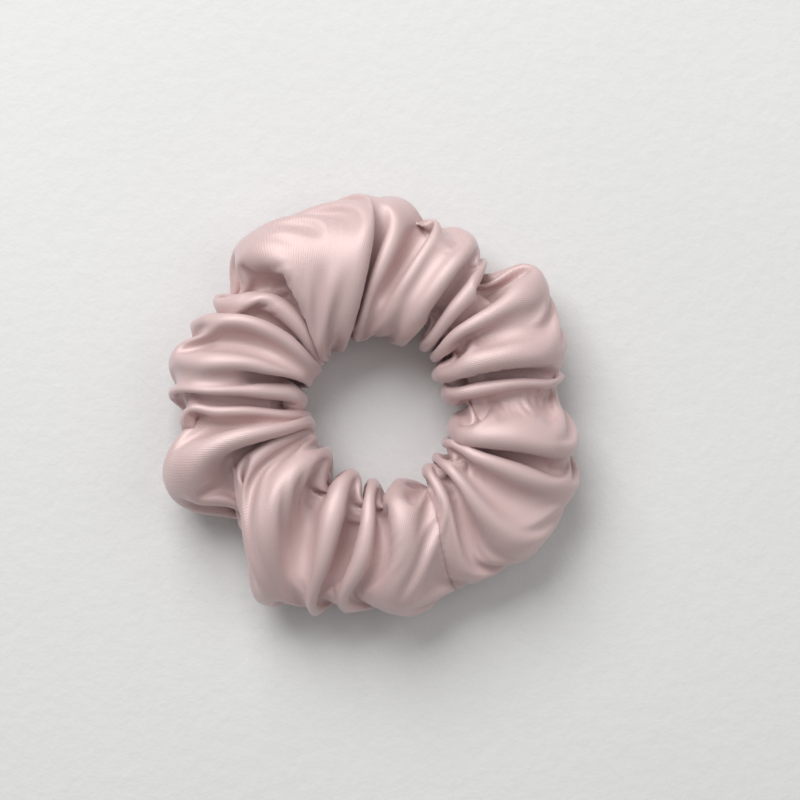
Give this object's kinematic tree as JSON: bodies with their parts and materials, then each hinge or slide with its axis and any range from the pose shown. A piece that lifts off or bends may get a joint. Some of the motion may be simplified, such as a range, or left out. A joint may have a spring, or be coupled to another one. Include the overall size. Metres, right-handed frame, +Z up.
{
  "type": "hair scrunchie",
  "caption": "Satin hair scrunchie: a gathered satin tube closed into a ring round a loose loop of flat elastic, lying flat.",
  "frame": {"origin": "on the resting plane, under the middle of the ring", "axes": "+Z up out of the resting plane, along the ring's axis; the join seam crosses the tube at azimuth -60 degrees from +X"},
  "size_m": [0.1106, 0.1106, 0.0261],
  "materials": {
    "satin": "satin",
    "elastic": "matte",
    "thread": "satin"
  },
  "bodies": {
    "sleeve": {"sleeve": "satin", "long_seam_needle_thread": "thread", "long_seam_bobbin_thread": "thread", "gap_slip_stitch_thread": "thread", "join_seam_needle_thread": "thread", "join_seam_bobbin_thread": "thread"},
    "elastic": {"elastic_band": "elastic", "elastic_tack_needle_thread": "thread", "elastic_tack_bobbin_thread": "thread"}
  },
  "joints": [
    {"name": "elastic_turn", "type": "hinge", "parent": "sleeve", "child": "elastic", "pos_m": [0, 0, 0.012], "axis": [0, 0, 1], "continuous": true}
  ]
}
